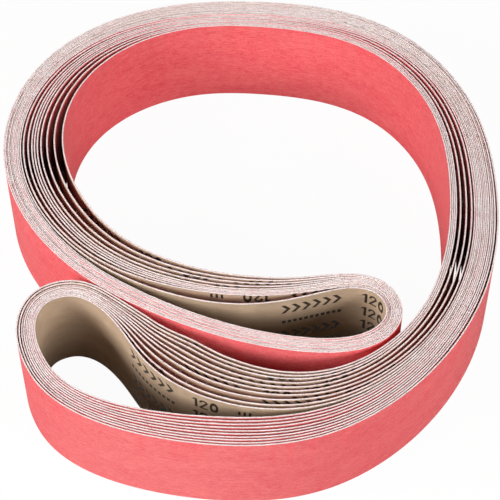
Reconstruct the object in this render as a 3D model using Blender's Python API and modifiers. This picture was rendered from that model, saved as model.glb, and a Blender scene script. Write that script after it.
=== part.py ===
"""Ten closed belts of abrasive cloth, nested in one another, pressed flat and wound into one coil.

The coil stands on the long edges of the cloth. Each belt is an endless band whose abrasive side
faces out. All of them are equally long, so each outer belt runs tight round the coil's outside and
takes up its spare length in open gaps on the inside.
"""

import math
from collections import namedtuple

import bmesh
import bpy
import numpy as np

MM = 0.001

# The belts
BELT_COUNT = 10
BELT_WIDTH = 75 * MM
BELT_LENGTH = 2250 * MM
CLOTH_THICKNESS = 0.7 * MM

# Between neighbouring belts where they lie flat on each other
LAYER_CLEARANCE = 0.3 * MM

# Between the coil's first turn and the second turn that lies on it
TURN_CLEARANCE = 0.6 * MM

# The fold line is the middle of the flattened innermost belt, seen from above. It winds clockwise
# from the tip of the inner lobe to the tip of the outer lobe. Its radius about the coil's centre
# is given at even steps of the angle turned.
START_ANGLE = math.radians(-41.7)
TOTAL_TURN = math.radians(468)
FOLD_RADII_MM = (
    112.5, 91.5, 81.5, 82, 95, 122.5, 153, 163, 154.5, 148.5,
    154, 151, 142, 141.5, 144, 145, 140, 135.5, 125,
)

# At each end the innermost belt opens from flat into a round lobe. The nose is the length of its
# rounded tip, and the fall is how quickly the lobe closes behind it. A squareness of 2 makes the
# tip an ellipse, and more makes it blunter. The lean moves the lobe off the fold line, towards the
# outer run where it is positive, as a share of the half width.
Lobe = namedtuple("Lobe", "half_width nose fall squareness lean")
INNER_LOBE = Lobe(16.4 * MM, 26.7 * MM, 34.8 * MM, 2.2, -0.3)
OUTER_LOBE = Lobe(23.7 * MM, 37 * MM, 29.5 * MM, 2.25, 0.28)

# Where the belts stand off from each other. Each swell opens and closes over a range of the angle
# turned, in degrees, with its peak between them. Its gaps are in millimetres, from the innermost
# pair of belts to the outermost. On the outer run, and on both runs round the outer tip, the gaps
# are as given. On the inner run one share scales them, so that each belt takes up its length.
Swell = namedtuple("Swell", "opens peak closes gaps_mm")
INNER_RUN_SWELLS = (
    Swell(0, 61, 129, (6.0, 0, 0, 0, 0.1, 1.3, 1.3, 1.0, 1.1)),
    Swell(54, 146, 222, (1.1, 1.8, 1.3, 0.7, 0.8, 1.4, 2.3, 3.1, 3.4)),
    Swell(211, 332, 408, (0.1, 0.1, 0.9, 2.4, 2.7, 1.8, 0.1, 0.1, 0.1)),
    Swell(345, 428, 465, (2.3, 2.9, 2.9, 2.4, 2.1, 2.2, 2.1, 1.3, 1.4)),
)
OUTER_RUN_SWELLS = (
    Swell(255, 348, 386, (0.1, 0.1, 0.1, 0.1, 0.1, 0.4, 0.2, 0.3, 1.0)),
    Swell(346, 410, 468, (1.1, 1.1, 1.1, 1.1, 1.1, 1.1, 0.8, 0.8, 0.7)),
)
BOTH_RUNS_SWELLS = (
    Swell(415, 468, 521, (0, 0, 0, 0, 0.1, 0.1, 0.3, 0.5, 0.6)),
)

# Facets along each belt, spread by how sharply the cloth bends, and how much a metre of straight
# cloth counts against a radian of bend.
FACETS = 144
STRAIGHT_WEIGHT = 10
CURVE_SAMPLES = 900
SOLVER_ROUNDS = 12

COLLECTION_NAME = "sanding_belts"


def clear_scene():
    for obj in list(bpy.data.objects):
        bpy.data.objects.remove(obj, do_unlink=True)


def smooth_values(values, where):
    """Values of the natural cubic spline through evenly spaced values, at positions counted in steps."""
    count = len(values)
    matrix = 4 * np.eye(count) + np.eye(count, k=1) + np.eye(count, k=-1)
    matrix[0] = np.eye(count)[0]
    matrix[-1] = np.eye(count)[-1]
    pull = np.zeros(count)
    pull[1:-1] = 6 * (values[:-2] - 2 * values[1:-1] + values[2:])
    bend = np.linalg.solve(matrix, pull)
    step = np.clip(where.astype(int), 0, count - 2)
    t = where - step
    chord = values[step] * (1 - t) + values[step + 1] * t
    return chord + ((1 - t) ** 3 - (1 - t)) * bend[step] / 6 + (t ** 3 - t) * bend[step + 1] / 6


def smooth_ramp(x):
    return (1 - np.cos(np.pi * np.clip(x, 0, 1))) / 2


def swell_shape(turned, swell):
    opens, peak, closes = np.radians((swell.opens, swell.peak, swell.closes))
    return smooth_ramp((turned - opens) / (peak - opens)) * smooth_ramp((closes - turned) / (closes - peak))


def swell_total(turned, swells, pair):
    """How far one pair of neighbouring belts stands open at each turned angle."""
    total = np.zeros(len(turned))
    for swell in swells:
        gap = swell.gaps_mm[pair % len(swell.gaps_mm)] * MM
        total += gap * swell_shape(turned, swell)
    return total


def lobe_width(distance, lobe):
    """Half the lobe's width at a distance from its tip, before the tip is rounded off."""
    behind = np.maximum(distance - lobe.nose, 0) / lobe.fall
    return lobe.half_width * (1 + behind) * np.exp(-behind)


def nose_shape(distance, lobe):
    """Rises from 0 at the tip to 1 at the nose's end, as a quarter of a slightly blunt ellipse."""
    ahead = np.clip(1 - distance / lobe.nose, 0, 1)
    return (1 - ahead ** lobe.squareness) ** (1 / lobe.squareness)


def loop_length(path):
    return np.linalg.norm(np.roll(path, -1, axis=0) - path, axis=1).sum()


def outward_directions(path):
    along = np.roll(path, -1, axis=0) - np.roll(path, 1, axis=0)
    along /= np.linalg.norm(along, axis=1)[:, None]
    return np.stack([-along[:, 1], along[:, 0]], axis=1)


def innermost_loop(scale, opening, pitch):
    """The innermost belt's centre line: out along the outer run, and back along the inner run.

    It also gives the angle turned at each point, and which points are on the inner run.
    """
    t = smooth_ramp(np.linspace(0, 1, CURVE_SAMPLES))
    turned = t * TOTAL_TURN
    radius = smooth_values(np.array(FOLD_RADII_MM) * MM * scale, t * (len(FOLD_RADII_MM) - 1))
    radius += opening * t
    angle = START_ANGLE - turned
    fold = np.stack([radius * np.cos(angle), radius * np.sin(angle)], axis=1)
    along = np.gradient(fold, axis=0)
    along /= np.linalg.norm(along, axis=1)[:, None]
    outward = np.stack([-along[:, 1], along[:, 0]], axis=1)
    steps = np.linalg.norm(np.diff(fold, axis=0), axis=1)
    from_inner_tip = np.concatenate([[0], np.cumsum(steps)])
    from_outer_tip = from_inner_tip[-1] - from_inner_tip
    inner_lobe = lobe_width(from_inner_tip, INNER_LOBE)
    outer_lobe = lobe_width(from_outer_tip, OUTER_LOBE)
    half = pitch / 2 + inner_lobe + outer_lobe
    half *= nose_shape(from_inner_tip, INNER_LOBE) * nose_shape(from_outer_tip, OUTER_LOBE)
    lean = INNER_LOBE.lean * inner_lobe + OUTER_LOBE.lean * outer_lobe
    outer_run = fold + outward * (lean + half)[:, None]
    inner_run = fold + outward * (lean - half)[:, None]
    path = np.concatenate([outer_run, inner_run[-2:0:-1]])
    turned = np.concatenate([turned, turned[-2:0:-1]])
    on_inner_run = np.arange(len(path)) >= CURVE_SAMPLES
    return path, turned, on_inner_run


def nested_loops(scale, opening):
    """The centre lines of all belts, from the innermost to the outermost, all equally long."""
    pitch = CLOTH_THICKNESS + LAYER_CLEARANCE
    first, turned, on_inner_run = innermost_loop(scale, opening, pitch)
    outward = outward_directions(first)
    length = loop_length(first)
    offset = np.zeros(len(first))
    loops = [first]
    for pair in range(BELT_COUNT - 1):
        tight = offset + pitch + swell_total(turned, BOTH_RUNS_SWELLS, pair)
        tight += np.where(on_inner_run, 0, swell_total(turned, OUTER_RUN_SWELLS, pair))
        spare = np.where(on_inner_run, swell_total(turned, INNER_RUN_SWELLS, pair), 0)
        low = 0
        high = 5
        for _ in range(30):
            share = (low + high) / 2
            trial = first + outward * (tight + share * spare)[:, None]
            if loop_length(trial) > length:
                low = share
            else:
                high = share
        offset = tight + share * spare
        loops.append(first + outward * offset[:, None])
    return loops, turned, on_inner_run


def turn_gap(path, turned, on_inner_run):
    """The smallest gap between the second turn's inner run and the first turn's outer run.

    It is negative where the second turn would lie inside the first.
    """
    below = path[(turned < math.radians(150)) & ~on_inner_run]
    above = path[(turned > math.radians(300)) & on_inner_run]
    apart = np.linalg.norm(above[:, None] - below[None], axis=2).min(axis=1)
    centre_line = START_ANGLE - math.radians(75)
    angle_below = np.angle(np.exp(1j * (np.arctan2(below[:, 1], below[:, 0]) - centre_line)))
    angle_above = np.angle(np.exp(1j * (np.arctan2(above[:, 1], above[:, 0]) - centre_line)))
    order = np.argsort(angle_below)
    radius_below = np.interp(angle_above, angle_below[order], np.linalg.norm(below, axis=1)[order])
    outside = np.linalg.norm(above, axis=1) > radius_below
    return np.where(outside, apart, -apart).min() - CLOTH_THICKNESS


def solve_coil():
    """Scales the coil to the belts' length, and opens it until its second turn clears its first."""
    scale = 1.0
    opening = 0.0
    for _ in range(SOLVER_ROUNDS):
        loops, turned, on_inner_run = nested_loops(scale, opening)
        scale *= BELT_LENGTH / loop_length(loops[0])
        opening += TURN_CLEARANCE - turn_gap(loops[-1], turned, on_inner_run)
    return nested_loops(scale, opening)[0]


def facet_picks(path):
    """Which samples become corners: the same ones on both runs, closer together where they bend."""
    steps = np.roll(path, -1, axis=0) - path
    direction = np.unwrap(np.arctan2(steps[:, 1], steps[:, 0]))
    bend = np.abs(np.diff(direction, prepend=direction[0]))
    weight = bend + STRAIGHT_WEIGHT * np.linalg.norm(steps, axis=1)
    outer_half = weight[:CURVE_SAMPLES - 1]
    inner_half = weight[:CURVE_SAMPLES - 2:-1][:CURVE_SAMPLES - 1]
    total = np.concatenate([[0], np.cumsum(outer_half + inner_half)])
    wanted = np.linspace(0, total[-1], FACETS // 2 + 1)
    picks = np.round(np.interp(wanted, total, np.arange(CURVE_SAMPLES))).astype(int)
    return np.concatenate([picks, len(path) - picks[-2:0:-1]])


def cloth_material(name, colour, roughness):
    material = bpy.data.materials.new(name)
    material.use_nodes = True
    shader = material.node_tree.nodes["Principled BSDF"]
    shader.inputs["Base Color"].default_value = (*colour, 1)
    shader.inputs["Roughness"].default_value = roughness
    shader.inputs["Metallic"].default_value = 0
    material.diffuse_color = (*colour, 1)
    return material


def make_belt(name, corners, materials, parent, collection):
    """A closed ring of edges is drawn up to the belt's width, and Solidify gives the cloth its thickness."""
    bm = bmesh.new()
    ring = [bm.verts.new((x, y, 0)) for x, y in corners]
    edges = [bm.edges.new((ring[i - 1], ring[i])) for i in range(len(ring))]
    drawn = bmesh.ops.extrude_edge_only(bm, edges=edges)["geom"]
    lifted = [item for item in drawn if isinstance(item, bmesh.types.BMVert)]
    bmesh.ops.translate(bm, verts=lifted, vec=(0, 0, BELT_WIDTH))
    bm.normal_update()
    outward = outward_directions(corners)[0]
    tip_face = ring[0].link_faces[0]
    if tip_face.normal.x * outward[0] + tip_face.normal.y * outward[1] < 0:
        bmesh.ops.reverse_faces(bm, faces=bm.faces[:])
    mesh = bpy.data.meshes.new(name)
    bm.to_mesh(mesh)
    bm.free()
    for material in materials:
        mesh.materials.append(material)
    mesh.shade_smooth()
    mesh.set_sharp_from_angle(angle=math.radians(40))
    belt = bpy.data.objects.new(name, mesh)
    collection.objects.link(belt)
    belt.parent = parent
    cloth = belt.modifiers.new("cloth", "SOLIDIFY")
    cloth.thickness = CLOTH_THICKNESS
    cloth.offset = 0
    cloth.use_even_offset = True
    cloth.material_offset = 1
    cloth.material_offset_rim = 2
    return belt


def main():
    clear_scene()
    collection = bpy.data.collections.new(COLLECTION_NAME)
    bpy.context.scene.collection.children.link(collection)
    coil = bpy.data.objects.new(COLLECTION_NAME, None)
    collection.objects.link(coil)
    materials = (
        cloth_material("abrasive_grit", (0.86, 0.12, 0.13), 0.85),
        cloth_material("cloth_backing", (0.45, 0.33, 0.21), 0.8),
        cloth_material("cut_edge", (0.9, 0.68, 0.64), 0.9),
    )

    loops = solve_coil()
    picks = facet_picks(loops[0])
    corner_rings = [loop[picks] for loop in loops]
    corners = np.concatenate(corner_rings)
    middle = (corners.max(axis=0) + corners.min(axis=0)) / 2
    coil.location = (-middle[0], -middle[1], 0)
    for index, corner_ring in enumerate(reversed(corner_rings)):
        make_belt(f"belt_{index + 1:02d}", corner_ring, materials, coil, collection)


main()
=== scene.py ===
"""Ten closed belts of red abrasive cloth, nested, pressed flat and wound into one coil, on a pale floor."""

import math
from collections import namedtuple

import bmesh
import bpy
import numpy as np
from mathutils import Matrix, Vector


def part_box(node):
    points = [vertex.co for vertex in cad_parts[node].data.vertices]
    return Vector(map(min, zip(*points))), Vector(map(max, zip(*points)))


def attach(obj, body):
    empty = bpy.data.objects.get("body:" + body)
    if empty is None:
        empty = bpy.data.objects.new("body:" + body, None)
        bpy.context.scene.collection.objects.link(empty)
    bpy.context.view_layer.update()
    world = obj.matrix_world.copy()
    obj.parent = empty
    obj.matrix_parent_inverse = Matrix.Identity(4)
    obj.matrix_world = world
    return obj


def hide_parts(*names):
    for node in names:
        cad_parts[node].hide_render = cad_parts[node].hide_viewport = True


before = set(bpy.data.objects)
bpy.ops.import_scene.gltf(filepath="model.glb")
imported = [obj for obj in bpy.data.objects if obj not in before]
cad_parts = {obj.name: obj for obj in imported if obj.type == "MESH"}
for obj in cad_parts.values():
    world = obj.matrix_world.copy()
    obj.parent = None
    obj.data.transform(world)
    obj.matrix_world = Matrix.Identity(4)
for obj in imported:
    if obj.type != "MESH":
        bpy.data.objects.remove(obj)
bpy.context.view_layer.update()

bl_info = {
    "name": "Coiled Sanding Belts",
    "version": (1, 0, 0),
    "blender": (4, 5, 0),
    "location": "View3D > Sidebar > Sanding Belts",
    "description": "Builds a coil of nested sanding belts with print and frayed edges, and a studio",
    "category": "Object",
}

MM = 0.001
BELT_NODES = sorted(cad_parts)
BELT_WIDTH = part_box(BELT_NODES[0])[1].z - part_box(BELT_NODES[0])[0].z

# Length of one belt round its middle
BELT_LENGTH = 2250 * MM

# Near here every belt turns round at the coil's inner end, and its length is counted from there
INNER_TIP = (0.0849, -0.0714)

# The print's pitch along the cloth, and where its ends meet, between belts that are pressed together
PRINT_PITCH = 242 * MM
PRINT_SEAM = 600 * MM

# Pitch of the print's rows across the cloth, the lower edge of its first row, and the figures'
# stroke in millimetres
ROW_PITCH = 15.6 * MM
FIRST_ROW = 12.6 * MM
STROKE = 1.5

# The arrowheads, the dashes and the ticks each repeat at a pitch, in millimetres
ARROW_PITCH = 6.4
DASH_PITCH = 3.5
TICK_PITCH = 3.2
TICKS_START = 78.0

# One thread of the woven backing
WEAVE_THREAD = 0.65 * MM

# Finishes round the cloth's cross section, in the order of a belt's material slots
GRIT, BACKING, EDGE = range(3)

# A cut edge is rounded at its corners, over this share of the radius, and crowned in its middle
CORNER_SHARE = 0.3
EDGE_CROWN = 0.02 * MM

# The upper edge's waves round a belt: long ones, fine ones, and the slow rise and fall of the
# whole belt in the stack. Single points of the edge are nicked by no more than the depth here.
LONG_WAVES = 14
FINE_WAVES = 160
STAGGER_WAVES = 8
NICK_DEPTH = 0.1 * MM

# The cloth is laid out flat twice, once in metres for its print and weave, and once in rows that
# fill a square for baking
CLOTH_UV = "cloth"
BAKE_UV = "OFBake"
BAKE_ROWS = 4
BAKE_MARGIN = 1.5 * MM

# One loose thread's steps along its length, the angles of its three corners, and how deep it is
# rooted in the cut edge
THREAD_STEPS = 4
THREAD_CORNERS = (0.5, 2.6, 4.7)
THREAD_DEPTH = 0.03 * MM

# Faces that meet at more than this angle have a sharp edge between them
SHARP_ANGLE = math.radians(15)

# Samples of a centre line from which its even stations are found, and waves in one ripple
SPLINE_SAMPLES = 12001
RIPPLE_WAVES = 4

# The camera looks down on the coil from the front, through a long lens
SENSOR_WIDTH_MM = 36
LENS_MM = 157.99
CAMERA_PLACE = (0.000857, -0.72781, 1.215275)
LOOK_DOWN_DEG = 58.5

# The lamps shine at the middle of the coil. The floor lies just under the cloth, and to the camera
# most of it is plain white.
LAMP_TARGET = (0, 0, 0.04)
FLOOR_GAP = 0.1 * MM
FLOOR_WHITE_SHARE = 0.96

# Seeds of the random draws
EDGE_SEED = 300
NICK_SEED = 100
THREAD_SEED = 7

# Where the print starts along each belt, counted from the inner tip, how far its rows are moved up
# the cloth, and whether the belt lies upside down. Belts wound together are turned either way.
Lay = namedtuple("Lay", "print_start rows_up upside_down")
LAYS = {
    "belt_01": Lay(1.300, 3.0 * MM, False),
    "belt_02": Lay(1.372, 4.4 * MM, False),
    "belt_03": Lay(1.450, 5.2 * MM, True),
    "belt_04": Lay(1.354, 4.6 * MM, False),
    "belt_05": Lay(1.331, 3.9 * MM, False),
    "belt_06": Lay(1.296, 4.8 * MM, False),
    "belt_07": Lay(1.352, 4.3 * MM, False),
    "belt_08": Lay(1.324, 5.0 * MM, False),
    "belt_09": Lay(2.222, 0, True),
    "belt_10": Lay(2.179, 0, False),
}


class ClothSettings(bpy.types.PropertyGroup):
    """Sizes and colours of the abrasive cloth."""

    thickness: bpy.props.FloatProperty(
        name="Thickness", description="Thickness of the cloth with its grit",
        default=0.87 * MM, min=0.5 * MM, max=0.97 * MM, unit="LENGTH", precision=5)
    edge_rounding: bpy.props.FloatProperty(
        name="Edge Rounding", description="Radius of the cut edge's corners",
        default=0.14 * MM, min=0.02 * MM, max=0.2 * MM, unit="LENGTH", precision=5)
    edge_unevenness: bpy.props.FloatProperty(
        name="Edge Unevenness", description="How far the upper cut edge rises and falls",
        default=0.12 * MM, min=0, max=0.5 * MM, unit="LENGTH", precision=5)
    edge_stagger: bpy.props.FloatProperty(
        name="Edge Stagger", description="How far one belt's upper edge stands above or below the next",
        default=0.3 * MM, min=0, max=1 * MM, unit="LENGTH", precision=5)
    stations: bpy.props.IntProperty(
        name="Stations", description="Cross sections along each belt",
        default=1200, min=300, max=3000)
    tufts: bpy.props.IntProperty(
        name="Thread Ends", description="Loose thread ends on each belt's upper edge",
        default=110, min=0, max=600)
    tuft_length: bpy.props.FloatProperty(
        name="Thread End Length", description="Longest loose thread end",
        default=2.4 * MM, min=0.2 * MM, max=6 * MM, unit="LENGTH", precision=5)
    grit_colour: bpy.props.FloatVectorProperty(
        name="Grit", description="Colour of the abrasive side",
        subtype="COLOR", size=3, default=(0.79, 0.058, 0.085), min=0, max=1)
    # The paler grit colour serves real streaks in the grit, and also large pale patches that are painted
    # sheen
    grit_streak_and_sheen_colour: bpy.props.FloatVectorProperty(
        name="Grit Highlights", description="Colour of the abrasive side's paler streaks",
        subtype="COLOR", size=3, default=(0.92, 0.165, 0.170), min=0, max=1)
    # The pale specks are partly grain in the grit and partly painted sheen that pales the red all over
    grit_speck_and_sheen_colour: bpy.props.FloatVectorProperty(
        name="Grit Specks", description="Colour of the abrasive side's pale specks",
        subtype="COLOR", size=3, default=(0.94, 0.24, 0.22), min=0, max=1)
    backing_colour: bpy.props.FloatVectorProperty(
        name="Backing", description="Colour of the woven back",
        subtype="COLOR", size=3, default=(0.56, 0.410, 0.285), min=0, max=1)
    backing_dark_colour: bpy.props.FloatVectorProperty(
        name="Backing Stains", description="Colour of the woven back's darker patches",
        subtype="COLOR", size=3, default=(0.38, 0.270, 0.185), min=0, max=1)
    ink_colour: bpy.props.FloatVectorProperty(
        name="Ink", description="Colour of the print on the back",
        subtype="COLOR", size=3, default=(0.014, 0.011, 0.009), min=0, max=1)
    edge_colour: bpy.props.FloatVectorProperty(
        name="Cut Edge", description="Colour of the cut cloth",
        subtype="COLOR", size=3, default=(0.95, 0.86, 0.84), min=0, max=1)
    edge_grit_colour: bpy.props.FloatVectorProperty(
        name="Cut Grit", description="Colour of the grit layer where it is cut",
        subtype="COLOR", size=3, default=(0.80, 0.30, 0.30), min=0, max=1)
    thread_colour: bpy.props.FloatVectorProperty(
        name="Thread Ends", description="Colour of the loose thread ends",
        subtype="COLOR", size=3, default=(0.86, 0.80, 0.76), min=0, max=1)


class StudioSettings(bpy.types.PropertyGroup):
    """Floor and lamps."""

    floor_size: bpy.props.FloatProperty(
        name="Floor Size", description="Side of the square floor",
        default=8.0, min=1, max=50, unit="LENGTH")
    left_power: bpy.props.FloatProperty(
        name="Left Light", description="Power of the large low lamp at the left",
        default=46, min=0, unit="POWER")
    right_power: bpy.props.FloatProperty(
        name="Right Light", description="Power of the large lamp at the front right",
        default=37, min=0, unit="POWER")
    front_power: bpy.props.FloatProperty(
        name="Front Light", description="Power of the low lamp at the front",
        default=4, min=0, unit="POWER")
    sky_strength: bpy.props.FloatProperty(
        name="Sky", description="Strength of the even light all round",
        default=0.1, min=0, max=2)


# Centre lines from the frame

def ring_points(node):
    """The two rings of corners on a belt's lower edge, each in order, as arrays of x and y."""
    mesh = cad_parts[node].data
    spots = [tuple(np.round(vertex.co, 6)) for vertex in mesh.vertices]
    lowest = min(spot[2] for spot in spots)
    beside = {}
    for polygon in mesh.polygons:
        if abs(polygon.normal.z) > 0.5:
            continue
        for start, end in polygon.edge_keys:
            a, b = spots[start], spots[end]
            if a != b and max(a[2], b[2]) < lowest + MM:
                beside.setdefault(a, set()).add(b)
                beside.setdefault(b, set()).add(a)
    rings = []
    while beside:
        spot = next(iter(beside))
        ring = []
        while spot is not None:
            ring.append(spot[:2])
            following = [other for other in beside.pop(spot) if other in beside]
            spot = following[0] if following else None
        rings.append(np.array(ring))
    return rings


def ring_length(points):
    return np.linalg.norm(np.roll(points, -1, axis=0) - points, axis=1).sum()


def centre_corners(node):
    """Corners of a belt's centre line, from the inner tip, clockwise seen from above."""
    outer, inner = sorted(ring_points(node), key=ring_length, reverse=True)
    apart = np.linalg.norm(outer[:, None] - inner[None], axis=2)
    corners = (outer + inner[apart.argmin(axis=1)]) / 2
    following = np.roll(corners, -1, axis=0)
    turned = (corners[:, 0] * following[:, 1] - following[:, 0] * corners[:, 1]).sum()
    if turned > 0:
        corners = corners[::-1]
    first = np.linalg.norm(corners - INNER_TIP, axis=1).argmin()
    return np.roll(corners, -first, axis=0)


def closed_spline(corners, count):
    """Evenly spaced points on the closed cubic spline through the corners, and their outward directions."""
    following = np.roll(corners, -1, axis=0)
    steps = np.linalg.norm(following - corners, axis=1)
    before = np.roll(steps, 1)
    size = len(corners)
    matrix = np.zeros((size, size))
    index = np.arange(size)
    matrix[index, index] = 2 * (before + steps)
    matrix[index, (index + 1) % size] = steps
    matrix[index, index - 1] = before
    slopes = (following - corners) / steps[:, None]
    bend = np.linalg.solve(matrix, 6 * (slopes - np.roll(slopes, 1, axis=0)))
    next_bend = np.roll(bend, -1, axis=0)
    starts = np.concatenate([[0], np.cumsum(steps)])

    def at(where):
        piece = np.clip(np.searchsorted(starts, where, side="right") - 1, 0, size - 1)
        step = steps[piece][:, None]
        t = (where - starts[piece])[:, None]
        rest = step - t
        chord = corners[piece] * rest / step + following[piece] * t / step
        low = bend[piece] * (rest ** 3 / step - rest * step) / 6
        high = next_bend[piece] * (t ** 3 / step - t * step) / 6
        return chord + low + high

    fine = np.linspace(0, starts[-1], SPLINE_SAMPLES)
    lengths = np.linalg.norm(np.diff(at(fine), axis=0), axis=1)
    travelled = np.concatenate([[0], np.cumsum(lengths)])
    where = np.interp(np.arange(count) / count * travelled[-1], travelled, fine)
    points = at(where)
    along = np.roll(points, -1, axis=0) - np.roll(points, 1, axis=0)
    along /= np.linalg.norm(along, axis=1)[:, None]
    return points, np.stack([-along[:, 1], along[:, 0]], axis=1)


def ripple(chance, count, waves):
    """A smooth closed ripple of about unit height round a belt, made of a few random waves."""
    turn = np.arange(count) / count * math.tau
    total = np.zeros(count)
    for _ in range(RIPPLE_WAVES):
        total += np.sin(chance.integers(waves // 2, waves) * turn + chance.uniform(0, math.tau))
    return total / 2


# Belts

def belt_profile(thickness, rounding):
    """Points round the cloth's cross section, and the finish of the face after each one.

    A point is how far out it lies, its height as a share of the width, and a rise.
    """
    half = thickness / 2
    corner = CORNER_SHARE * rounding
    upper = [
        (half, 1, -rounding, EDGE),
        (half - corner, 1, -corner, EDGE),
        (half - rounding, 1, 0, EDGE),
        (0, 1, EDGE_CROWN, EDGE),
        (rounding - half, 1, 0, EDGE),
        (corner - half, 1, -corner, EDGE),
        (-half, 1, -rounding, BACKING),
    ]
    lower = [
        (-half, 0, rounding, EDGE),
        (corner - half, 0, corner, EDGE),
        (rounding - half, 0, 0, EDGE),
        (0, 0, 0, EDGE),
        (half - rounding, 0, 0, EDGE),
        (half - corner, 0, corner, EDGE),
        (half, 0, rounding, GRIT),
    ]
    return [*upper, (-half, 0.5, 0, BACKING), *lower, (half, 0.5, 0, GRIT)]


def girth_marks(profile):
    """Distances round the cross section from its first point to each point, and back to the first."""
    spots = np.array([(out, share * BELT_WIDTH + rise) for out, share, rise, _ in profile])
    steps = np.linalg.norm(np.roll(spots, -1, axis=0) - spots, axis=1)
    return np.concatenate([[0], np.cumsum(steps)])


def edge_rise(order, cloth):
    """How far a belt's upper edge stands above its nominal width, at each station."""
    chance = np.random.default_rng(EDGE_SEED + order)
    count = cloth.stations
    uneven = ripple(chance, count, LONG_WAVES) + 0.5 * ripple(chance, count, FINE_WAVES)
    stagger = chance.uniform(-0.6, 0.6) + 0.7 * ripple(chance, count, STAGGER_WAVES)
    return cloth.edge_unevenness * uneven + cloth.edge_stagger * stagger


def belt_rings(bm, node, order, profile, cloth):
    """The profile's points at every station along a belt, with the upper edge uneven and nicked."""
    chance = np.random.default_rng(NICK_SEED + order)
    points, outward = closed_spline(centre_corners(node), cloth.stations)
    rises = edge_rise(order, cloth)
    nicks = 0.5 * cloth.edge_unevenness * chance.normal(size=(cloth.stations, len(profile)))
    rings = []
    for station in range(cloth.stations):
        ring = []
        for place, (out, share, rise, _) in enumerate(profile):
            x, y = points[station] + outward[station] * out
            z = share * BELT_WIDTH + rise
            if share == 1:
                z += rises[station] + np.clip(nicks[station, place], -NICK_DEPTH, NICK_DEPTH)
            ring.append(bm.verts.new((x, y, z)))
        rings.append(ring)
    return rings


def cloth_spot(spot, finish, along, lay, thickness):
    """Where a point of the cross section lies on the flat cloth: along it and across it, in metres."""
    out, share, rise, _ = spot
    if finish == EDGE:
        return along, thickness / 2 - out
    if lay.upside_down:
        return lay.print_start - along, (1 - share) * BELT_WIDTH - rise + lay.rows_up
    return along - lay.print_start, share * BELT_WIDTH + rise - lay.rows_up


def bake_rows(count, girth):
    """How a belt is cut into rows for baking: stations a row, a row's height and the square's side."""
    row_stations = -(-count // BAKE_ROWS)
    row_height = girth + BAKE_MARGIN
    row_length = row_stations * BELT_LENGTH / count + BAKE_MARGIN
    return row_stations, row_height, max(BAKE_ROWS * row_height, row_length) + BAKE_MARGIN


def add_object(name, bm, materials):
    """An object made of the bmesh, with its faces smooth and turned outwards."""
    bmesh.ops.recalc_face_normals(bm, faces=bm.faces[:])
    for face in bm.faces:
        face.smooth = True
    mesh = bpy.data.meshes.new(name)
    bm.to_mesh(mesh)
    bm.free()
    for material in materials:
        mesh.materials.append(material)
    item = bpy.data.objects.new(name, mesh)
    bpy.context.scene.collection.objects.link(item)
    return item


def build_belt(node, order, cloth, materials):
    """One belt: its profile is drawn round the centre line, with cloth and bake coordinates."""
    count = cloth.stations
    profile = belt_profile(cloth.thickness, cloth.edge_rounding)
    bm = bmesh.new()
    rings = belt_rings(bm, node, order, profile, cloth)
    cloth_layer = bm.loops.layers.uv.new(CLOTH_UV)
    bake_layer = bm.loops.layers.uv.new(BAKE_UV)
    girth = girth_marks(profile)
    row_stations, row_height, bake_side = bake_rows(count, girth[-1])
    for station in range(count):
        here, there = rings[station], rings[(station + 1) % count]
        row, column = divmod(station, row_stations)
        for place, (_, _, _, finish) in enumerate(profile):
            after = (place + 1) % len(profile)
            face = bm.faces.new((here[place], there[place], there[after], here[after]))
            face.material_index = finish
            for loop, step, turn in zip(face.loops, (0, 1, 1, 0), (0, 0, 1, 1)):
                along = (station + step) / count * BELT_LENGTH
                if station / count * BELT_LENGTH < PRINT_SEAM:
                    along += BELT_LENGTH
                spot = profile[(place + turn) % len(profile)]
                loop[cloth_layer].uv = cloth_spot(spot, finish, along, LAYS[node], cloth.thickness)
                loop[bake_layer].uv = (
                    (BAKE_MARGIN + (column + step) * BELT_LENGTH / count) / bake_side,
                    (BAKE_MARGIN + row * row_height + girth[place + turn]) / bake_side)
    belt = add_object(node + "_cloth", bm, materials)
    belt.data.set_sharp_from_angle(angle=SHARP_ANGLE)
    return belt


def add_thread(bm, chance, root, out, cloth):
    """One loose thread from its root: it leans along the edge, curls and droops towards its tip."""
    length = cloth.tuft_length * chance.uniform(0.25, 1) ** 1.5
    radius = chance.uniform(0.045, 0.1) * MM
    lean = chance.normal(0, 1.1)
    rise = chance.uniform(-0.1, 0.5)
    along = out.cross(Vector((0, 0, 1)))
    heading = (out + along * lean).normalized()
    across = Vector((-heading.y, heading.x, 0))
    rings = []
    for step in range(THREAD_STEPS + 1):
        t = step / THREAD_STEPS
        curl = 0.25 * length * t * t * chance.normal()
        middle = root + heading * length * t + along * curl
        middle.z += length * (rise * t - 0.35 * rise * t * t) + 0.05 * MM
        thin = radius * (1 - 0.6 * t)
        ring = []
        for turn in THREAD_CORNERS:
            up = Vector((0, 0, thin * math.sin(turn)))
            ring.append(bm.verts.new(middle + across * thin * math.cos(turn) + up))
        rings.append(ring)
    for low, high in zip(rings, rings[1:]):
        for corner in range(len(THREAD_CORNERS)):
            after = (corner + 1) % len(THREAD_CORNERS)
            bm.faces.new((low[corner], low[after], high[after], high[corner]))
    bm.faces.new(rings[0][::-1])
    bm.faces.new(rings[-1])


def build_thread_ends(cloth, material):
    """Short loose threads that stand out of the upper cut edges and lie over the gaps.

    The outermost belt has them only on its inner side.
    """
    chance = np.random.default_rng(THREAD_SEED)
    bm = bmesh.new()
    for order, node in enumerate(BELT_NODES):
        points, outward = closed_spline(centre_corners(node), cloth.stations)
        rises = edge_rise(order, cloth)
        for _ in range(cloth.tufts):
            station = chance.integers(cloth.stations)
            side = -1 if node == BELT_NODES[0] else chance.choice((-1, 1))
            out = Vector((*outward[station], 0)) * side
            root = Vector((*points[station], BELT_WIDTH + rises[station] - THREAD_DEPTH))
            root += out * (cloth.thickness / 2 - 2 * cloth.edge_rounding)
            add_thread(bm, chance, root, out, cloth)
    return add_object("thread_ends", bm, [material])


# Shader node groups

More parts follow.
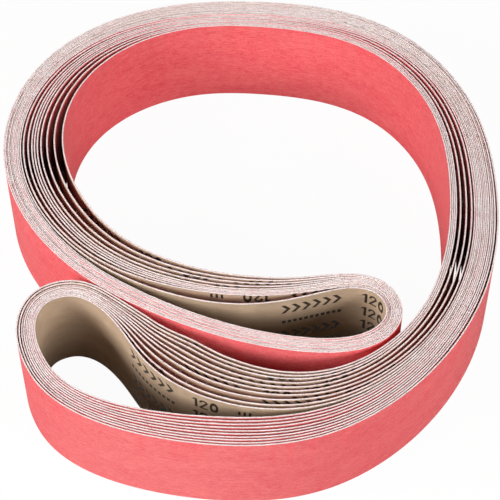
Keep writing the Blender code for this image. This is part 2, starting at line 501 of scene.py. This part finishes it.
def new_group(name, inputs, outputs):
    """A shader node group with float sockets: its tree, its input node and its output node."""
    tree = bpy.data.node_groups.new(name, "ShaderNodeTree")
    for label, default in inputs:
        socket = tree.interface.new_socket(name=label, in_out="INPUT", socket_type="NodeSocketFloat")
        socket.default_value = default
    for label in outputs:
        tree.interface.new_socket(name=label, in_out="OUTPUT", socket_type="NodeSocketFloat")
    return tree, tree.nodes.new("NodeGroupInput"), tree.nodes.new("NodeGroupOutput")


def place_group(tree, name, **values):
    node = tree.nodes.new("ShaderNodeGroup")
    node.node_tree = bpy.data.node_groups[name]
    for label, value in values.items():
        node.inputs[label.replace("_", " ")].default_value = value
    return node


def join(tree, value, socket):
    """Links a node's output to a socket, or sets the socket to a plain number."""
    if isinstance(value, bpy.types.NodeSocket):
        tree.links.new(value, socket)
    else:
        socket.default_value = value


def calc(tree, operation, *values):
    node = tree.nodes.new("ShaderNodeMath")
    node.operation = operation
    for value, socket in zip(values, node.inputs):
        join(tree, value, socket)
    return node.outputs[0]


def soft_step(tree, value, low, high):
    """0 below low and 1 above high, with a smooth rise between them."""
    node = tree.nodes.new("ShaderNodeMapRange")
    node.interpolation_type = "SMOOTHSTEP"
    join(tree, value, node.inputs["Value"])
    join(tree, low, node.inputs["From Min"])
    join(tree, high, node.inputs["From Max"])
    return node.outputs["Result"]


def noise(tree, size, stretch=1.0, detail=2.0, roughness=0.5):
    """Noise of a given feature size in metres, stretched along the cloth where stretch is above 1."""
    place = tree.nodes.new("ShaderNodeTexCoord")
    scaled = tree.nodes.new("ShaderNodeVectorMath")
    scaled.operation = "MULTIPLY"
    tree.links.new(place.outputs["Object"], scaled.inputs[0])
    combined = tree.nodes.new("ShaderNodeCombineXYZ")
    flat = calc(tree, "DIVIDE", 1.0, calc(tree, "MULTIPLY", size, stretch))
    join(tree, flat, combined.inputs["X"])
    join(tree, flat, combined.inputs["Y"])
    join(tree, calc(tree, "DIVIDE", 1.0, size), combined.inputs["Z"])
    tree.links.new(combined.outputs[0], scaled.inputs[1])
    texture = tree.nodes.new("ShaderNodeTexNoise")
    texture.inputs["Scale"].default_value = 1
    texture.inputs["Detail"].default_value = detail
    texture.inputs["Roughness"].default_value = roughness
    tree.links.new(scaled.outputs[0], texture.inputs["Vector"])
    return texture.outputs["Fac"]


def make_mottle_group():
    """Soft patches and streaks, from 0 to 1."""
    tree, given, result = new_group(
        "cloth_mottle", [("Size", 0.02), ("Stretch", 1.0), ("Contrast", 1.0)], ["Mask"])
    value = noise(tree, given.outputs["Size"], given.outputs["Stretch"], detail=4)
    centred = calc(tree, "MULTIPLY", calc(tree, "SUBTRACT", value, 0.5), given.outputs["Contrast"])
    mask = tree.nodes.new("ShaderNodeClamp")
    tree.links.new(calc(tree, "ADD", calc(tree, "MULTIPLY", centred, 2.5), 0.5), mask.inputs["Value"])
    tree.links.new(mask.outputs[0], result.inputs["Mask"])


def make_grain_group():
    """Grains of a given size, from 0 to 1, with a smooth rise between two levels of the noise."""
    tree, given, result = new_group("fine_grain", [("Size", 0.0002), ("Low", 0.3), ("High", 0.7)], ["Mask"])
    value = noise(tree, given.outputs["Size"], detail=1)
    mask = soft_step(tree, value, given.outputs["Low"], given.outputs["High"])
    tree.links.new(mask, result.inputs["Mask"])


def cloth_place(tree):
    """How far along and across the cloth a point is, in metres."""
    place = tree.nodes.new("ShaderNodeUVMap")
    place.uv_map = CLOTH_UV
    parts = tree.nodes.new("ShaderNodeSeparateXYZ")
    tree.links.new(place.outputs["UV"], parts.inputs[0])
    return parts.outputs["X"], parts.outputs["Y"]


def make_weave_group():
    """A twill weave: its raised threads from 0 to 1."""
    tree, given, result = new_group("twill_weave", [("Thread", 0.0006)], ["Height"])
    along, across = cloth_place(tree)
    column = calc(tree, "DIVIDE", along, given.outputs["Thread"])
    row = calc(tree, "DIVIDE", across, given.outputs["Thread"])
    slanted = calc(tree, "MULTIPLY", calc(tree, "ADD", column, row), math.tau / 3)
    over = calc(tree, "SINE", slanted)
    thread = calc(tree, "ABSOLUTE", calc(tree, "SINE", calc(tree, "MULTIPLY", column, math.pi)))
    height = calc(tree, "ADD", calc(tree, "MULTIPLY", over, 0.25), calc(tree, "MULTIPLY", thread, 0.5))
    tree.links.new(calc(tree, "ADD", height, 0.25), result.inputs["Height"])


def least(tree, *values):
    smallest = values[0]
    for value in values[1:]:
        smallest = calc(tree, "MINIMUM", smallest, value)
    return smallest


def span(tree, value, low, high):
    """Distance outside a range, negative inside it."""
    off = calc(tree, "ABSOLUTE", calc(tree, "SUBTRACT", value, (low + high) / 2))
    return calc(tree, "SUBTRACT", off, (high - low) / 2)


def bar(tree, x, y, left, right, low, high):
    """Distance outside an upright rectangle, negative inside it."""
    return calc(tree, "MAXIMUM", span(tree, x, left, right), span(tree, y, low, high))


def oval(tree, x, y, centre, radii, stroke):
    """Distance outside an oval line of a given stroke."""
    dx = calc(tree, "DIVIDE", calc(tree, "SUBTRACT", x, centre[0]), radii[0])
    dy = calc(tree, "DIVIDE", calc(tree, "SUBTRACT", y, centre[1]), radii[1])
    squares = calc(tree, "ADD", calc(tree, "MULTIPLY", dx, dx), calc(tree, "MULTIPLY", dy, dy))
    off = calc(tree, "ABSOLUTE", calc(tree, "SUBTRACT", calc(tree, "SQRT", squares), 1.0))
    return calc(tree, "SUBTRACT", calc(tree, "MULTIPLY", off, min(radii)), stroke / 2)


def slant(tree, x, y, start, end, stroke):
    """Distance outside a slanting line that rises from one point to another."""
    slope = (end[0] - start[0]) / (end[1] - start[1])
    line = calc(tree, "ADD", calc(tree, "MULTIPLY", calc(tree, "SUBTRACT", y, start[1]), slope), start[0])
    sideways = calc(tree, "ABSOLUTE", calc(tree, "SUBTRACT", x, line))
    off = calc(tree, "MULTIPLY", sideways, 1 / math.hypot(1, slope))
    return calc(tree, "MAXIMUM", calc(tree, "SUBTRACT", off, stroke / 2), span(tree, y, start[1], end[1]))


def make_print_group():
    """The ink on the backing: a row of plain arrowheads, a broken line, the number 120 and three ticks.

    The shapes are laid out in millimetres. Arrowheads, line and ticks come once in two rows.
    """
    tree, given, result = new_group("back_print", [("Coverage", 0.85)], ["Ink"])
    along, across = cloth_place(tree)
    row = ROW_PITCH / MM
    x = calc(tree, "FLOORED_MODULO", calc(tree, "DIVIDE", along, MM), PRINT_PITCH / MM)
    height = calc(tree, "SUBTRACT", calc(tree, "DIVIDE", across, MM), FIRST_ROW / MM)
    y = calc(tree, "FLOORED_MODULO", height, row)
    y_pair = calc(tree, "FLOORED_MODULO", height, 2 * row)

    off_middle = calc(tree, "ABSOLUTE", calc(tree, "SUBTRACT", y_pair, row + 5))
    swept = calc(tree, "ADD", x, calc(tree, "MULTIPLY", off_middle, 0.75))
    arrow = span(tree, calc(tree, "FLOORED_MODULO", swept, ARROW_PITCH), 3.3, 5.9)
    arrows = calc(tree, "MAXIMUM", arrow, bar(tree, x, y_pair, 0, 38.4, row + 0.3, row + 9.7))

    dash = span(tree, calc(tree, "FLOORED_MODULO", x, DASH_PITCH), 0.6, 2.9)
    dashes = calc(tree, "MAXIMUM", dash, bar(tree, x, y_pair, 0, 38.5, 3.9, 7.0))

    flag = slant(tree, x, y, (50.7, 8.2), (52.6, 10.2), STROKE)
    one = least(tree, bar(tree, x, y, 52.0, 53.7, 0, 10.4), flag)
    loop = oval(tree, x, y, (57.6, 7.5), (1.95, 2.2), STROKE)
    bow = calc(tree, "MAXIMUM", loop, calc(tree, "SUBTRACT", 6.9, y))
    stem = slant(tree, x, y, (55.6, 0.9), (59.4, 7.1), STROKE)
    two = least(tree, bow, stem, bar(tree, x, y, 55.0, 60.2, 0, 1.45))
    zero = oval(tree, x, y, (64.2, 5.2), (1.95, 4.4), STROKE)

    past = calc(tree, "SUBTRACT", x, TICKS_START)
    tick = span(tree, calc(tree, "FLOORED_MODULO", past, TICK_PITCH), 0.85, 2.35)
    ticks = calc(tree, "MAXIMUM", tick, bar(tree, past, y_pair, 0, 9.6, row + 4, row + 8.5))

    shape = least(tree, arrows, dashes, one, two, zero, ticks)
    inside = calc(tree, "SUBTRACT", 1.0, soft_step(tree, shape, -0.15, 0.15))
    worn = soft_step(tree, noise(tree, 0.5 * MM, detail=3), 0.25, 0.5)
    cover = calc(tree, "ADD", calc(tree, "MULTIPLY", worn, 0.2), 0.8)
    cover = calc(tree, "MULTIPLY", cover, given.outputs["Coverage"])
    tree.links.new(calc(tree, "MULTIPLY", inside, cover), result.inputs["Ink"])


# Materials

def mix_colours(tree, share, first, second):
    """A colour between two, each a plain colour or a node's output."""
    node = tree.nodes.new("ShaderNodeMix")
    node.data_type = "RGBA"
    join(tree, share, node.inputs[0])
    for colour, socket in ((first, node.inputs[6]), (second, node.inputs[7])):
        join(tree, colour if isinstance(colour, bpy.types.NodeSocket) else (*colour, 1), socket)
    return node.outputs[2]


def add_bump(tree, height, distance, strength, normal=None):
    node = tree.nodes.new("ShaderNodeBump")
    node.inputs["Distance"].default_value = distance
    node.inputs["Strength"].default_value = strength
    tree.links.new(height, node.inputs["Height"])
    if normal is not None:
        tree.links.new(normal, node.inputs["Normal"])
    return node.outputs["Normal"]


def start_material(name, colour):
    material = bpy.data.materials.new(name)
    material.use_nodes = True
    material.diffuse_color = (*colour, 1)
    tree = material.node_tree
    return material, tree, tree.nodes["Principled BSDF"]


def make_grit_material(cloth):
    material, tree, shader = start_material("red_grit", cloth.grit_colour)
    streaks = place_group(tree, "cloth_mottle", Size=1.0 * MM, Stretch=5, Contrast=1.8).outputs["Mask"]
    # Large soft pale patches, spread at random, are painted sheen on the grit
    patches = place_group(tree, "cloth_mottle", Size=13 * MM, Stretch=3, Contrast=1.3).outputs["Mask"]
    # Pale specks: partly grain in the grit, partly painted sheen
    specks = place_group(tree, "fine_grain", Size=1.0 * MM, Low=0.45, High=0.7).outputs["Mask"]
    grains = place_group(tree, "fine_grain", Size=0.16 * MM).outputs["Mask"]
    weave = place_group(tree, "twill_weave", Thread=WEAVE_THREAD).outputs["Height"]
    pale = calc(tree, "ADD", calc(tree, "MULTIPLY", streaks, 0.75), calc(tree, "MULTIPLY", patches, 0.35))
    colour = mix_colours(tree, pale, tuple(cloth.grit_colour), tuple(cloth.grit_streak_and_sheen_colour))
    colour = mix_colours(tree, calc(tree, "MULTIPLY", specks, 0.5), colour, tuple(cloth.grit_speck_and_sheen_colour))
    dark = tuple(0.72 * part for part in cloth.grit_colour)
    colour = mix_colours(tree, calc(tree, "MULTIPLY", grains, 0.35), colour, dark)
    tree.links.new(colour, shader.inputs["Base Color"])
    rough = calc(tree, "ADD", calc(tree, "MULTIPLY", grains, 0.2), 0.68)
    tree.links.new(rough, shader.inputs["Roughness"])
    shader.inputs["Specular IOR Level"].default_value = 0.2
    shader.inputs["Sheen Weight"].default_value = 0.5
    shader.inputs["Sheen Roughness"].default_value = 0.4
    shader.inputs["Sheen Tint"].default_value = (1, 0.6, 0.55, 1)
    height = calc(tree, "ADD", grains, calc(tree, "MULTIPLY", weave, 0.3))
    tree.links.new(add_bump(tree, height, 0.06 * MM, 0.8), shader.inputs["Normal"])
    return material


def make_backing_material(cloth):
    material, tree, shader = start_material("woven_backing", cloth.backing_colour)
    patches = place_group(tree, "cloth_mottle", Size=9 * MM, Stretch=2.5, Contrast=1.0).outputs["Mask"]
    slubs = place_group(tree, "cloth_mottle", Size=0.6 * MM, Stretch=9, Contrast=1.2).outputs["Mask"]
    weave = place_group(tree, "twill_weave", Thread=WEAVE_THREAD).outputs["Height"]
    ink = place_group(tree, "back_print", Coverage=0.96).outputs["Ink"]
    dark = calc(tree, "ADD", calc(tree, "MULTIPLY", patches, 0.4), calc(tree, "MULTIPLY", slubs, 0.3))
    dark = calc(tree, "ADD", dark, calc(tree, "MULTIPLY", weave, 0.15))
    colour = mix_colours(tree, dark, tuple(cloth.backing_colour), tuple(cloth.backing_dark_colour))
    colour = mix_colours(tree, ink, colour, tuple(cloth.ink_colour))
    tree.links.new(colour, shader.inputs["Base Color"])
    rough = calc(tree, "ADD", calc(tree, "MULTIPLY", slubs, 0.12), 0.72)
    rough = calc(tree, "SUBTRACT", rough, calc(tree, "MULTIPLY", ink, 0.2))
    tree.links.new(rough, shader.inputs["Roughness"])
    shader.inputs["Specular IOR Level"].default_value = 0.06
    height = calc(tree, "ADD", weave, calc(tree, "MULTIPLY", slubs, 0.5))
    tree.links.new(add_bump(tree, height, 0.09 * MM, 0.8), shader.inputs["Normal"])
    return material


def make_edge_material(cloth):
    material, tree, shader = start_material("cut_edge", cloth.edge_colour)
    fuzz = place_group(tree, "fine_grain", Size=0.8 * MM, Low=0.35, High=0.62).outputs["Mask"]
    pits = place_group(tree, "fine_grain", Size=0.9 * MM, Low=0.60, High=0.72).outputs["Mask"]
    ticks = place_group(tree, "fine_grain", Size=0.25 * MM, Low=0.3, High=0.7).outputs["Mask"]
    patches = place_group(tree, "cloth_mottle", Size=7 * MM, Stretch=1.0, Contrast=1.0).outputs["Mask"]
    _, from_grit = cloth_place(tree)
    ragged = calc(tree, "ADD", from_grit, calc(tree, "MULTIPLY", fuzz, 0.2 * cloth.thickness))
    fabric = soft_step(tree, ragged, 0.1 * cloth.thickness, 0.35 * cloth.thickness)
    colour = mix_colours(tree, fabric, tuple(cloth.edge_grit_colour), tuple(cloth.edge_colour))
    white = tuple(min(1, 0.9 * part + 0.14) for part in cloth.edge_colour)
    colour = mix_colours(tree, calc(tree, "MULTIPLY", fuzz, 0.7), colour, white)
    colour = mix_colours(tree, calc(tree, "MULTIPLY", patches, 0.2), colour, tuple(cloth.edge_grit_colour))
    dark = (0.45 * cloth.edge_colour[0], 0.40 * cloth.edge_colour[1], 0.38 * cloth.edge_colour[2])
    colour = mix_colours(tree, calc(tree, "MULTIPLY", pits, 0.7), colour, dark)
    colour = mix_colours(tree, calc(tree, "MULTIPLY", ticks, 0.15), colour, dark)
    tree.links.new(colour, shader.inputs["Base Color"])
    tree.links.new(calc(tree, "ADD", calc(tree, "MULTIPLY", fuzz, 0.15), 0.8), shader.inputs["Roughness"])
    shader.inputs["Specular IOR Level"].default_value = 0.2
    tree.links.new(add_bump(tree, fuzz, 0.12 * MM, 0.8), shader.inputs["Normal"])
    return material


def make_thread_material(cloth):
    material, tree, shader = start_material("loose_thread", cloth.thread_colour)
    twist = place_group(tree, "fine_grain", Size=0.3 * MM).outputs["Mask"]
    dark = tuple(0.75 * part for part in cloth.thread_colour)
    tree.links.new(mix_colours(tree, twist, dark, tuple(cloth.thread_colour)), shader.inputs["Base Color"])
    tree.links.new(calc(tree, "ADD", calc(tree, "MULTIPLY", twist, 0.1), 0.8), shader.inputs["Roughness"])
    shader.inputs["Specular IOR Level"].default_value = 0.2
    return material


def make_groups():
    make_mottle_group()
    make_grain_group()
    make_weave_group()
    make_print_group()


# Studio

def make_floor_material():
    """Plain white to the camera, in glossy reflections and through glass, with the shadow kept faintly."""
    material = bpy.data.materials.new("pale_floor")
    material.use_nodes = True
    tree = material.node_tree
    tree.nodes.remove(tree.nodes["Principled BSDF"])
    output = tree.nodes["Material Output"]
    grey = tree.nodes.new("ShaderNodeBsdfDiffuse")
    grey.inputs["Color"].default_value = (0.3, 0.3, 0.3, 1)
    pale = tree.nodes.new("ShaderNodeBsdfDiffuse")
    pale.inputs["Color"].default_value = (0.9, 0.9, 0.9, 1)
    glow = tree.nodes.new("ShaderNodeEmission")
    glow.inputs["Strength"].default_value = 1
    seen = tree.nodes.new("ShaderNodeMixShader")
    seen.inputs["Fac"].default_value = FLOOR_WHITE_SHARE
    tree.links.new(pale.outputs[0], seen.inputs[1])
    tree.links.new(glow.outputs[0], seen.inputs[2])
    final = tree.nodes.new("ShaderNodeMixShader")
    tree.links.new(seen_directly(tree), final.inputs["Fac"])
    tree.links.new(grey.outputs[0], final.inputs[1])
    tree.links.new(seen.outputs[0], final.inputs[2])
    tree.links.new(final.outputs[0], output.inputs["Surface"])
    return material


def seen_directly(tree):
    """1 for rays from the camera, in reflections and through glass."""
    path = tree.nodes.new("ShaderNodeLightPath")
    total = calc(tree, "ADD", path.outputs["Is Camera Ray"], path.outputs["Is Glossy Ray"])
    total = calc(tree, "ADD", total, path.outputs["Is Transmission Ray"])
    return calc(tree, "MINIMUM", total, 1.0)


def add_camera(scene):
    data = bpy.data.cameras.new("camera")
    data.sensor_width = SENSOR_WIDTH_MM
    data.lens = LENS_MM
    camera = bpy.data.objects.new("camera", data)
    camera.location = CAMERA_PLACE
    camera.rotation_euler = (math.radians(90 - LOOK_DOWN_DEG), 0, 0)
    scene.collection.objects.link(camera)
    scene.camera = camera


def add_floor(side):
    half = side / 2
    mesh = bpy.data.meshes.new("floor")
    corners = [(-half, -half, 0), (half, -half, 0), (half, half, 0), (-half, half, 0)]
    mesh.from_pydata(corners, [], [(0, 1, 2, 3)])
    mesh.materials.append(make_floor_material())
    floor = bpy.data.objects.new("floor", mesh)
    floor.location.z = -FLOOR_GAP
    bpy.context.scene.collection.objects.link(floor)
    return floor


def add_sky(scene, strength):
    """Even light all round, which is plain white to the camera, in reflections and through glass."""
    world = bpy.data.worlds.new("studio_world")
    world.use_nodes = True
    scene.world = world
    tree = world.node_tree
    background = tree.nodes["Background"]
    background.inputs["Color"].default_value = (1, 1, 1, 1)
    seen = seen_directly(tree)
    unseen = calc(tree, "SUBTRACT", 1.0, seen)
    total = calc(tree, "ADD", seen, calc(tree, "MULTIPLY", unseen, strength))
    tree.links.new(total, background.inputs["Strength"])


def add_lamp(name, place, size, power):
    """A rectangular lamp that shines at the middle of the coil."""
    data = bpy.data.lights.new(name, "AREA")
    data.shape = "RECTANGLE"
    data.size, data.size_y = size
    data.energy = power
    lamp = bpy.data.objects.new(name, data)
    lamp.location = place
    lamp.rotation_euler = (Vector(LAMP_TARGET) - Vector(place)).to_track_quat("-Z", "Y").to_euler()
    bpy.context.scene.collection.objects.link(lamp)
    return lamp


# Operators

class BELTS_OT_lay_cloth(bpy.types.Operator):
    """Builds every belt round the frame's centre lines, with grit, backing and cut edges"""
    bl_idname = "belts.lay_cloth"
    bl_label = "Lay Cloth Belts"

    def execute(self, context):
        cloth = context.scene.belt_cloth
        make_groups()
        materials = [make_grit_material(cloth), make_backing_material(cloth), make_edge_material(cloth)]
        belts = [build_belt(node, order, cloth, materials) for order, node in enumerate(BELT_NODES)]
        for node, belt in zip(BELT_NODES, belts):
            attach(belt, "root")
            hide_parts(node)
        return {"FINISHED"}


class BELTS_OT_fray_edges(bpy.types.Operator):
    """Adds loose thread ends along the upper cut edges"""
    bl_idname = "belts.fray_edges"
    bl_label = "Fray Edges"

    def execute(self, context):
        cloth = context.scene.belt_cloth
        threads = build_thread_ends(cloth, make_thread_material(cloth))
        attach(threads, "root")
        return {"FINISHED"}


class BELTS_OT_set_studio(bpy.types.Operator):
    """Adds the camera, the floor, the lamps and the even light all round"""
    bl_idname = "belts.set_studio"
    bl_label = "Set Studio"

    def execute(self, context):
        studio = context.scene.belt_studio
        scene = context.scene
        add_camera(scene)
        add_floor(studio.floor_size)
        add_lamp("left_light", (-1.66, -0.60, 0.94), (1.2, 0.9), studio.left_power)
        add_lamp("right_light", (1.43, -1.2, 1.0), (1.4, 0.7), studio.right_power)
        add_lamp("front_light", (0, -1.81, 0.85), (1.0, 0.6), studio.front_power)
        add_sky(scene, studio.sky_strength)
        scene.view_settings.view_transform = "Standard"
        return {"FINISHED"}


class BELTS_PT_panel(bpy.types.Panel):
    """Sizes, colours and steps of the coil"""
    bl_idname = "BELTS_PT_panel"
    bl_label = "Sanding Belts"
    bl_space_type = "VIEW_3D"
    bl_region_type = "UI"
    bl_category = "Sanding Belts"

    def draw(self, context):
        for settings in (context.scene.belt_cloth, context.scene.belt_studio):
            box = self.layout.box()
            for name in settings.__annotations__:
                box.prop(settings, name)
        for operator in OPERATORS:
            self.layout.operator(operator.bl_idname)


SETTINGS = (ClothSettings, StudioSettings)
OPERATORS = (BELTS_OT_lay_cloth, BELTS_OT_fray_edges, BELTS_OT_set_studio)


def register():
    for item in (*SETTINGS, *OPERATORS, BELTS_PT_panel):
        bpy.utils.register_class(item)
    bpy.types.Scene.belt_cloth = bpy.props.PointerProperty(type=ClothSettings)
    bpy.types.Scene.belt_studio = bpy.props.PointerProperty(type=StudioSettings)


def unregister():
    del bpy.types.Scene.belt_studio
    del bpy.types.Scene.belt_cloth
    for item in reversed((*SETTINGS, *OPERATORS, BELTS_PT_panel)):
        bpy.utils.unregister_class(item)


def main():
    register()
    bpy.ops.belts.lay_cloth()
    bpy.ops.belts.fray_edges()
    bpy.ops.belts.set_studio()


if __name__ == "__main__":
    main()
